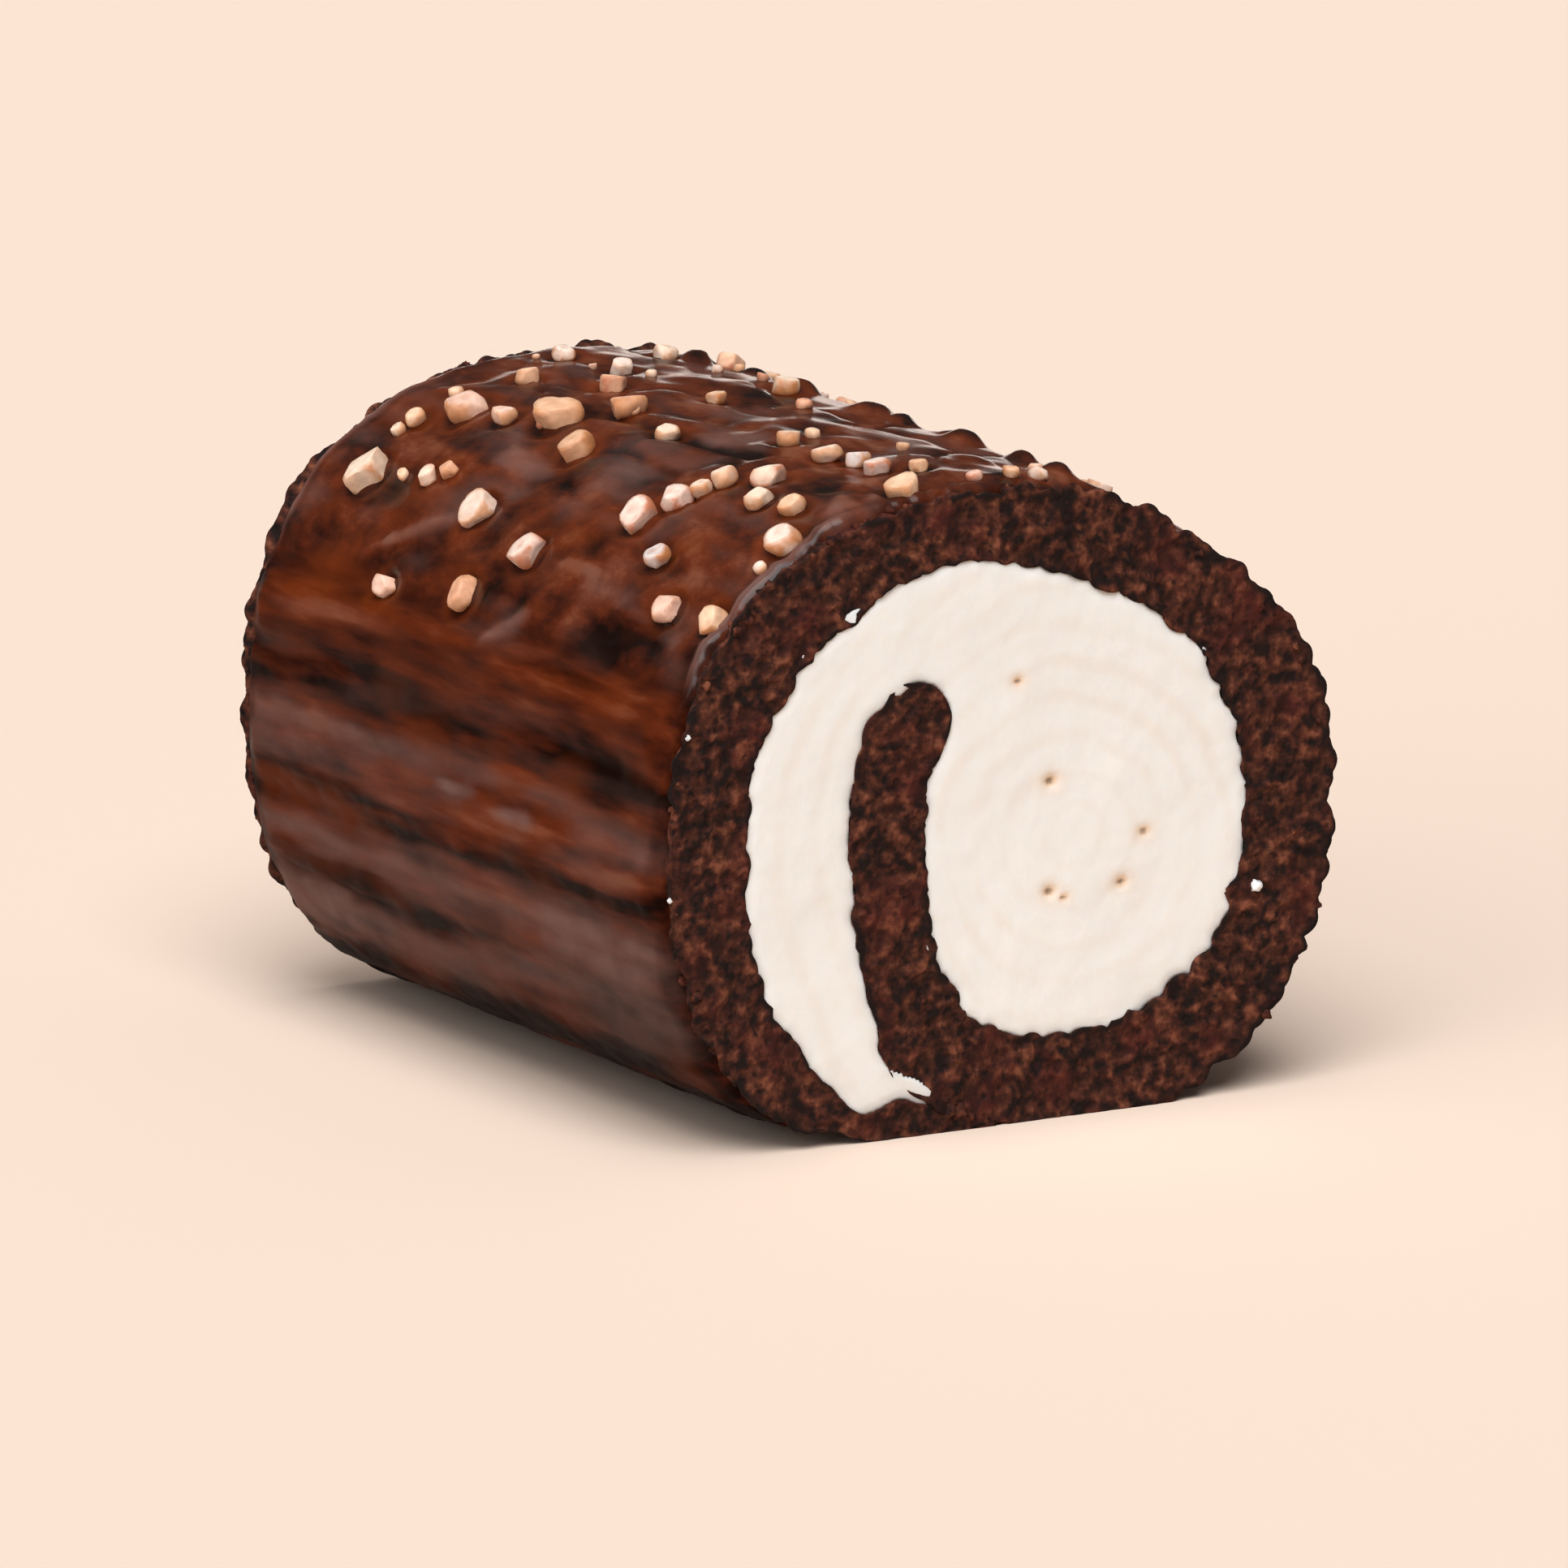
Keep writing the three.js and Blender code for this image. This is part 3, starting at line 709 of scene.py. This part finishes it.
def icingStand(angle, y):
    # how far the icing stands off the sponge, then its lightness (with painted light and shade), its painted
    # sheen, its redness and whether it is a side
    stray = angle + icing["wander"] * noise.noise((y / 34 + 31.7, angle / 70 + 11.3, 16.9))
    stray += 0.4 * noise.noise((y / 5, angle / 9, 2.2))
    swell = 0
    onFold = False
    for start, end, height in icing["folds"]:
        if start <= stray < end:
            swell = height * math.sin(math.pi * (stray - start) / (end - start)) ** 0.8
            onFold = True
    p = outline(angle)
    lump = icing["lumps"] * (0.4 + soft(p.x, y, p.y, icing["lumpSize"], 1))
    top = ease(28, 40, angle) * ease(160, 152, angle)
    sides = 1 - top
    fromFront = y + roll["half"]
    lap = 0
    for atBack, atFront, near, far, step in icing["lap"]:
        below = (angle - mix(atFront, atBack, fromFront / 100)) * 0.62
        below += 0.7 * noise.noise((fromFront / 9, atBack, 1))
        below *= 1 if angle > 90 else -1
        if below > 0:
            along = ease(near - 4, near + 4, fromFront) * ease(far + 4, far - 4, fromFront)
            lap += step * along * math.exp(-below / 2.6) * ease(0, 0.5, below)
    bend = 0.6 * soft(p.x, y, p.y, 9, 5)
    wide, long = icing["dabSize"]
    near, _ = noise.voronoi((p.x / wide + bend, y / long - bend, p.y / wide + 0.6 * bend))
    dome = 1 - (near[0] / 0.8) ** 2
    some = ease(0, 0.4, soft(p.x, y, p.y, 15, 11))
    crease = (1 - ease(0, 0.16, near[1] - near[0])) * some * top
    calm = 1 - 0.5 * ease(92, 84, angle) * ease(50, 60, angle)
    dab = top * calm * (icing["dab"] * (dome - 0.4) + 0.45 * soft(p.x, y / 1.6, p.y, 4, 12))
    lines = noise.noise((angle / 2.6, y / 14, 3)) + 0.7 * noise.noise((angle / 1.5, y / 9, 8))
    drag = icing["drag"] * sides * lines
    shades = icing["shades"]
    around = angle if angle > 28 else 180 - angle
    light, haze = shades[-1][1:]
    shadeAt = around + 1.3 * noise.noise((fromFront / 11, angle / 9, 4))
    shadeAt = max(28, shadeAt + mix(0.8, -0.4, fromFront / 100))
    for (a0, l0, h0), (a1, l1, h1) in zip(shades, shades[1:]):
        if a0 <= shadeAt < a1:
            share = ease(a0, a1, shadeAt)
            light, haze = mix(l0, l1, share), mix(h0, h1, share)
    height, lighter, moreSheen, red = icingMarks(angle, fromFront)
    granular = 0.22 * ease(7, 3, math.hypot((angle - 137) * 0.65, (fromFront - 36) * 0.8))
    rough = (0.2 * sides * ease(0.35, 0.15, light) + granular) * granule(p.x, y / 2, p.y, 1.9, 2)
    small = (0.07 + 0.1 * top) * soft(p.x, y / 1.5, p.y, 2.6, 9)
    stand = icing["thickness"] + swell + (0.35 if onFold else 1) * lump + dab + drag
    stand = stand + small + rough + lap + height - 0.25 * crease
    # painted light and shade: lighter where laps, dabs and drag lines stand up, darker in the creases
    light += lighter + 0.3 * lap + 0.4 * dab + 1.5 * drag - 0.35 * crease
    light += 0.45 * sides * noise.noise((angle / 3.2, y / 22, 6)) + 0.5 * top * soft(p.x, y, p.y, 6, 14)
    # painted sheen: grey patches of the floor's reflection drift over the top
    cloudy = 0.45 * top * (soft(p.x, y, p.y, 7.5, 21) - 0.1)
    haze += moreSheen + 0.35 * noise.noise((angle / 4, y / 22, 13)) + cloudy
    red += 1.1 * soft(p.x, y / 1.8, p.y, 6.5, 17) - 0.15 + 0.12 * sides
    point = offOutline(angle, icing["meanStand"])
    for _, index, distance in nutTree.find_range((point.x, y, point.y), 6):
        r = nutSpots[index][2] / 2
        # round each nut the icing dips, is painted darker as its shade and loses its painted sheen, with a
        # redder ring further out
        halo = math.exp(-((distance - r - 0.2) / 0.6) ** 2)
        stand -= 0.35 * halo
        light -= 0.35 * halo
        red += 0.8 * math.exp(-((distance - r - 0.9) / 1.0) ** 2)
        haze -= halo
    return max(0.25, stand), min(1, max(-0.4, light)), min(1, max(0, haze)), min(1, max(0, red)), sides


def makeIcing():
    bm = slab(icing["columns"], icing["rows"], 2)
    lightness = bm.verts.layers.float.new("lightness")
    sheenLayer = bm.verts.layers.float.new("haze")
    reddish = bm.verts.layers.float.new("red")
    drawnOut = bm.verts.layers.float.new("drawn")
    span = roll["half"] - icing["inset"]
    for v in bm.verts:
        u = v.co.x
        w = 0.55 * v.co.y + 0.45 * math.sin(v.co.y * math.pi / 2)
        angle = mix(icing["right"], icing["left"], (u + 1) / 2)
        angle += 1.6 * noise.noise((v.co.y * 6, u, 2)) * abs(u) ** 10
        ragged = noise.noise((angle / 8, 4 * math.copysign(1, w), 6)) + 0.5 * noise.noise((angle / 2.5, 9, w))
        limit = span + icing["reach"] + icing["edgeWander"] * ragged
        y = w * limit
        stand, light, haze, red, sides = icingStand(angle, y)
        inside = limit - abs(y)
        end = min(inside, 40 * (1 - abs(u))) / icing["bead"]
        shoulder = ease(158, 149, angle) * ease(110, 122, angle)
        # a painted highlight: a pale line just inside each end of the icing on the upper left shoulder
        line = math.exp(-((inside - 1.1) / 0.45) ** 2) * shoulder
        rounded = math.sqrt(max(0, 1 - (1 - min(1, end)) ** 2))
        if v.co.z > 0.5:
            low = icing["edgeHeight"] - icing["edgeDrop"] * ease(5, 20, angle) * ease(92, 80, angle)
            stand = mix(min(stand, low), stand, ease(0, 4, inside))
            at = offOutline(angle, (stand + 0.3 * line) * rounded + 0.05)
            # painted shade: the last few mm at each end are darker, with less painted sheen and red
            dim = ease(3.4, 0.8, inside + 0.9 * soft(angle / 3, y, 1, 2.5, 3))
            v[lightness] = mix(light, 0.22, 0.75 * dim) + 0.45 * line
            v[sheenLayer] = max(haze * (1 - 0.6 * dim), line)
            v[reddish] = red * (1 - dim) * (1 - line)
            v[drawnOut] = sides
        else:
            at = offOutline(angle, 0.02)
        v.co = (at.x, y, at.y)
    return bm


def makeIcingMaterial():
    # dark chocolate icing, drawn warm along the roll: glossy red-brown, painted lighter where it stands thick
    # and near black in its creases as painted light and shade, with a painted grey sheen of the pale floor's
    # reflection low on the sides and in patches on top
    material, tree, shader, at = startMaterial("DarkChocolateIcingDrawn")
    long = addNode(tree, "Mapping", {"Scale": (1, 0.6, 1)}, {"Vector": at}).outputs["Vector"]
    longer = addNode(tree, "Mapping", {"Scale": (1, 0.17, 1)}, {"Vector": at}).outputs["Vector"]
    mottle = addNode(tree, "TexNoise", {"Scale": perMetre(3.0), "Detail": 4, "Roughness": 0.6},
                     {"Vector": long})
    streak = addNode(tree, "TexNoise", {"Scale": perMetre(2.2), "Detail": 3, "Roughness": 0.5},
                     {"Vector": longer})
    side = addNode(tree, "Attribute", {"attribute_name": "drawn"})
    marks = addNode(tree, "Mix", {"data_type": "FLOAT"},
                    {0: side.outputs["Fac"], 2: mottle.outputs["Fac"], 3: streak.outputs["Fac"]})
    spread = addNode(tree, "MapRange", {
        "clamp": False, "From Min": 0.3, "From Max": 0.7, "To Min": -0.32, "To Max": 0.32,
    }, {"Value": marks.outputs["Result"]})
    light = addNode(tree, "Attribute", {"attribute_name": "lightness"})
    both = addNode(tree, "Math", {"operation": "ADD"}, {0: light.outputs["Fac"], 1: spread.outputs["Result"]})
    brown = addNode(tree, "ValToRGB", {"stops": [
        (0.0, tone("#150704")), (0.12, tone("#280d06")), (0.34, tone("#3e180b")), (0.66, tone("#5b2611")),
        (1.0, tone("#764029")),
    ]}, {"Fac": both.outputs["Value"]})
    red = addNode(tree, "Attribute", {"attribute_name": "red"})
    glaze = addNode(tree, "Mix", {"data_type": "RGBA", 7: tone("#74310f")},
                    {0: red.outputs["Fac"], 6: brown.outputs["Color"]})
    warmed = addNode(tree, "Mix", {"data_type": "RGBA", 0: 0.5},
                     {6: brown.outputs["Color"], 7: glaze.outputs[2]})
    haze = addNode(tree, "Attribute", {"attribute_name": "haze"})
    cloud = addNode(tree, "TexNoise", {"Scale": perMetre(4), "Detail": 3}, {"Vector": long})
    thick = addNode(tree, "MapRange", {"From Min": 0.35, "From Max": 0.6, "To Min": 0.55, "To Max": 0.9},
                    {"Value": cloud.outputs["Fac"]})
    # painted sheen: the floor's reflection as a grey veil over the brown
    veil = addNode(tree, "Math", {"operation": "MULTIPLY"},
                   {0: haze.outputs["Fac"], 1: thick.outputs["Result"]})
    base = addNode(tree, "Mix", {"data_type": "RGBA", 7: tone("#715650")},
                   {0: veil.outputs["Value"], 6: warmed.outputs[2]})
    tree.links.new(base.outputs[2], shader.inputs["Base Color"])
    rough = addNode(tree, "MapRange", {"From Min": 0.3, "From Max": 0.7, "To Min": 0.35, "To Max": 0.55},
                    {"Value": cloud.outputs["Fac"]})
    tree.links.new(rough.outputs["Result"], shader.inputs["Roughness"])
    gloss = addNode(tree, "MapRange", {"To Min": 0.42, "To Max": 0}, {"Value": side.outputs["Fac"]})
    tree.links.new(gloss.outputs["Result"], shader.inputs["Coat Weight"])
    bumps = addNode(tree, "Bump", {"Strength": 0.5, "Distance": 0.0003}, {"Height": marks.outputs["Result"]})
    tree.links.new(bumps.outputs["Normal"], shader.inputs["Normal"])
    shader.inputs["IOR"].default_value = 1.46
    shader.inputs["Specular IOR Level"].default_value = 0.02
    shader.inputs["Coat Roughness"].default_value = 0.2
    return material


icingMaterial = makeIcingMaterial()
icingPiece = finishPiece(makeIcing(), "icing_coat", icingMaterial)
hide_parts("icing")

# ---- nuts
chips = {
    "greyish": [(138, 21.3), (97.4, 19.7)],  # the nuts at these places: angle, mm from the front
    "squareSlab": (140.4, 83.6),
    "bits": [  # the splinters that show, as the nuts
        (130.9, 86.2, 2), (138.6, 77.1, 1.6), (133.6, 3.4, 1.8), (93.4, 33.5, 2), (80.8, 49, 2), (88.8, 4, 2),
        (81, 4.5, 2), (76, 4.2, 2.2), (74, 7, 1.8), (119.4, 84.6, 2.0), (86, 22, 1.6), (107, 58, 1.6),
    ],
    "scatteredBits": 12,
    "bitSize": (1.0, 1.7),
    "faces": ["#fde2ca", "#f9d3b2", "#f5c4a0", "#f8cfbb", "#fce6d8", "#efb492"],
    "skins": ["#cf9063", "#c17e4e", "#d49c74", "#c47a58"],
}


def addChip(bm, tint, angle, y, size, rng, subdivisions, square=False, greyish=False):
    out = outward(angle)
    normal = Vector((out.x, 0, out.y))
    stand = icingStand(angle, y)[0]
    at = outline(angle) + out * (roll["gap"] + stand + size * 0.05)
    made = bmesh.ops.create_icosphere(bm, subdivisions=subdivisions, radius=size / 2)["verts"]
    r = size / 2
    spin = rng.random() * 100
    stretch = Vector((0.9 + 0.3 * rng.random(), 0.9 + 0.3 * rng.random(), 0.85 + 0.2 * rng.random()))
    planes = []
    for _ in range(1 if square else 6):
        away = Vector((rng.uniform(-1, 1), rng.uniform(-1, 1), rng.uniform(-0.4, 0.5))).normalized()
        planes.append((away, r * rng.uniform(0.66, 0.86)))
    if square:
        for away in ((1, 0, 0), (-1, 0, 0), (0, 1, 0), (0, -1, 0)):
            planes.append((Vector(away), r * 0.74))
    tilt = Vector((rng.uniform(-0.25, 0.25), rng.uniform(-0.25, 0.25), 1)).normalized()
    planes.append((tilt, r * (0.42 if square else 0.5)))
    # about half the chips get a darker middle on top: painted shade of a hollow that the mesh doesn't have
    hollow = 0.45 * (rng.random() > 0.45) * (not square)
    plain = "#fde6cf" if square else rng.choice(chips["faces"])
    face = Vector(tone("#e2dad8" if greyish else plain))
    skin = Vector(tone(rng.choice(chips["skins"])))
    turn = normal.to_track_quat("Z", "Y")
    turnRound = rng.uniform(0, 6.28)
    for v in made:
        p = Vector((v.co.x * stretch.x, v.co.y * stretch.y, v.co.z * stretch.z))
        p *= 1 + 0.16 * noise.noise((v.co.x / r * 1.1 + spin, v.co.y / r * 1.1, v.co.z / r * 1.1))
        cut = 0
        for away, far in planes:
            over = p.dot(away) - far
            if over > 0:
                p -= away * over * 0.93
                cut = max(cut, min(1, over / (0.12 * r)))
        p *= 1 + 0.03 * noise.noise((p.x * 2.2 + spin, p.y * 2.2, p.z * 2.2))
        rim = ease(0.45, 0.95, math.hypot(p.x, p.y) / r)
        middle = hollow * math.exp(-((p.x * p.x + p.y * p.y) / (0.1 * r * r))) * (p.z > 0)
        share = (1 - cut) * 0.55 + 0.45 * rim + middle + 0.3 * noise.noise((p.x + spin, p.y, p.z))
        share = max(0, min(1, share))
        v[tint] = face.lerp(skin, share)
        c, s = math.cos(turnRound), math.sin(turnRound)
        p = turn @ Vector((p.x * c - p.y * s, p.x * s + p.y * c, p.z))
        v.co = p + Vector((at.x, y, at.y))


def makeNuts():
    bm = bmesh.new()
    tint = bm.verts.layers.float_color.new("tint")
    rng = Random(5)
    half = roll["half"]
    for angle, y, size in nutSpots:
        spot = (angle, round(y + half, 1))
        addChip(bm, tint, angle, y, size, rng, 3, spot == chips["squareSlab"], spot in chips["greyish"])
    for angle, start, size in chips["bits"]:
        addChip(bm, tint, angle, start - half, size, rng, 2)
    for _ in range(chips["scatteredBits"]):
        angle = mix(22, 120, rng.random())
        y = rng.uniform(5, half - 4)
        addChip(bm, tint, angle, y, rng.uniform(*chips["bitSize"]), rng, 2)
    return bm


def makeNutMaterial():
    # chopped roasted almond: pale peach where it broke, tan skin round the edges, a little oil on it
    material, tree, shader, at = startMaterial("ChoppedRoastedAlmond")
    tint = addNode(tree, "Attribute", {"attribute_name": "tint"})
    grain = addNode(tree, "TexNoise", {"Scale": perMetre(0.9), "Detail": 3}, {"Vector": at})
    shade = addNode(tree, "MapRange", {"From Min": 0.3, "From Max": 0.7, "To Min": 0.8, "To Max": 1.05},
                    {"Value": grain.outputs["Fac"]})
    base = addNode(tree, "Mix", {"data_type": "RGBA", "blend_type": "MULTIPLY", 0: 1.0},
                   {6: tint.outputs["Color"], 7: shade.outputs["Result"]})
    tree.links.new(base.outputs[2], shader.inputs["Base Color"])
    bumps = addNode(tree, "Bump", {"Strength": 0.4, "Distance": 0.00015}, {"Height": grain.outputs["Fac"]})
    tree.links.new(bumps.outputs["Normal"], shader.inputs["Normal"])
    shader.inputs["Roughness"].default_value = 0.5
    shader.inputs["IOR"].default_value = 1.46
    shader.inputs["Subsurface Weight"].default_value = 0.2
    shader.inputs["Subsurface Radius"].default_value = (1.0, 0.6, 0.4)
    shader.inputs["Subsurface Scale"].default_value = 0.0008
    return material


finishPiece(makeNuts(), "chopped_nuts", makeNutMaterial())

# ---- loose crumbs at the cuts
crumbs = {
    "rim": 150,  # along each cut's outer edge
    "size": (0.7, 1.3),
    "spread": 3,  # mm from the cut that they reach
    # x, z and size: pressed in where the curl meets the sheet's edge, and cream on the sponge
    "seam": [(-5.7, 1.7, 2.2), (-4.2, 1.2, 1.6), (-7.0, 1.9, 2.1)],
    "flecks": [(31.45, 22.8, 1.25), (-39.3, 46.6, 0.6), (-41.6, 29.2, 0.5)],
}


def addCrumb(bm, at, size, rng, subdivisions=2):
    made = bmesh.ops.create_icosphere(bm, subdivisions=subdivisions, radius=size / 2)["verts"]
    spin = rng.random() * 100
    for v in made:
        swell = 1 + 0.7 * noise.noise((v.co.x / size * 2.6 + spin, v.co.y / size * 2.6, v.co.z / size * 2.6))
        v.co = v.co * swell + at


def makeCrumbs():
    bm = bmesh.new()
    rng = Random(11)
    for end in (-1, 1):
        for _ in range(crumbs["rim"]):
            angle = rng.uniform(-46, 226)
            size = rng.uniform(*crumbs["size"])
            back = rng.random() ** 1.5 * crumbs["spread"]
            bulge = (0.6 + 0.9 * (rng.random() - 0.5)) * (1 - back / crumbs["spread"])
            at = offOutline(angle, bulge - size * 0.3)
            if at.y > size * 0.55:
                addCrumb(bm, Vector((at.x, end * (roll["half"] - 0.35 - back), at.y)), size, rng)
        for x, z, size in crumbs["seam"]:
            addCrumb(bm, Vector((x, end * (roll["half"] - 0.8), z)), size, rng)
    return bm


def makeFlecks():
    bm = bmesh.new()
    rng = Random(3)
    for x, z, size in crumbs["flecks"]:
        addCrumb(bm, Vector((x, -roll["half"] + 0.05, z)), size, rng, 3)
    return bm


finishPiece(makeCrumbs(), "rim_crumbs", spongeMaterial)
finishPiece(makeFlecks(), "cream_flecks", creamMaterial)

# ---- floor, light and camera
studio = {
    "floor": "#ebd6c6",
    "floorSize": 6,  # metres each way from its middle
    "suns": [  # name, the direction it comes from, strength, degrees across
        ("overhead_softbox", (-0.04, -0.03, 1), 0.45, 24),
        ("key_softbox", (-0.34, -0.58, 1), 2.78, 44),
        ("left_softbox", (-0.9, -0.35, 0.45), 0.85, 40),
    ],
    "aim": (-0.78, -48.25, 34.54),  # a point of the front cut, in mm
    "right": -23.13,  # the picture's middle from that point, in mm across and up the picture
    "up": 2.96,
    "azimuth": -30.0,
    "elevation": 12.0,
    "distance": 1.739,
    "lens": 372.7,
    "sensor": 36.0,
}


def makeFloor():
    # matt pale card
    bm = bmesh.new()
    bmesh.ops.create_grid(bm, x_segments=2, y_segments=2, size=studio["floorSize"])
    mesh = bpy.data.meshes.new("studio_floor")
    bm.to_mesh(mesh)
    bm.free()
    floor = bpy.data.objects.new("studio_floor", mesh)
    bpy.context.scene.collection.objects.link(floor)
    material, _, shader, _ = startMaterial("PaleCard")
    shader.inputs["Base Color"].default_value = tone(studio["floor"])
    shader.inputs["Roughness"].default_value = 0.9
    shader.inputs["Specular IOR Level"].default_value = 0.1
    mesh.materials.append(material)


def addSun(name, coming, strength, width):
    # a broad even white light, as from a large softbox
    light = bpy.data.lights.new(name, "SUN")
    light.energy = strength
    light.angle = math.radians(width)
    lamp = bpy.data.objects.new(name, light)
    lamp.rotation_euler = Vector(coming).to_track_quat("Z", "Y").to_euler()
    bpy.context.scene.collection.objects.link(lamp)


def addCard(name, place, size, power, colour):
    # a pale window far behind the roll, for the sheen on its far shoulder
    light = bpy.data.lights.new(name, "AREA")
    light.shape = "RECTANGLE"
    light.size, light.size_y = size
    light.energy = power
    light.color = tone(colour)[:3]
    lamp = bpy.data.objects.new(name, light)
    lamp.location = place
    lamp.rotation_euler = Vector(place).to_track_quat("Z", "Y").to_euler()
    bpy.context.scene.collection.objects.link(lamp)


def makeWorld():
    world = bpy.data.worlds.new("PaleStudio")
    bpy.context.scene.world = world
    world.use_nodes = True
    tree = world.node_tree
    way = addNode(tree, "TexCoord")
    parts = addNode(tree, "SeparateXYZ", {}, {"Vector": way.outputs["Generated"]})
    sky = addNode(tree, "ValToRGB", {"stops": [
        (0.0, tone("#7a6e66")), (0.3, tone("#8a7f78")), (1.0, tone("#fff8f2")),
    ]}, {"Fac": parts.outputs["Z"]})
    back = tree.nodes["Background"]
    tree.links.new(sky.outputs["Color"], back.inputs["Color"])
    back.inputs["Strength"].default_value = 0.3


def makeCamera():
    turn = math.radians(studio["azimuth"])
    lift = math.radians(studio["elevation"])
    back = Vector((math.sin(turn) * math.cos(lift), -math.cos(turn) * math.cos(lift), math.sin(lift)))
    right = Vector((math.cos(turn), math.sin(turn), 0))
    up = back.cross(right)
    aim = (Vector(studio["aim"]) + right * studio["right"] + up * studio["up"]) / 1000
    data = bpy.data.cameras.new("camera")
    data.lens = studio["lens"]
    data.sensor_width = studio["sensor"]
    data.clip_start = 0.05
    data.clip_end = 50
    camera = bpy.data.objects.new("camera", data)
    camera.location = aim + back * studio["distance"]
    camera.rotation_euler = back.to_track_quat("Z", "Y").to_euler()
    bpy.context.scene.collection.objects.link(camera)
    bpy.context.scene.camera = camera


makeFloor()
makeWorld()
for sun in studio["suns"]:
    addSun(*sun)
addCard("far_window", (3.8, 6.6, 0.34), (5.2, 0.62), 52, "#fff1e8")
makeCamera()
bpy.context.scene.view_settings.view_transform = "Standard"
print("stage set")
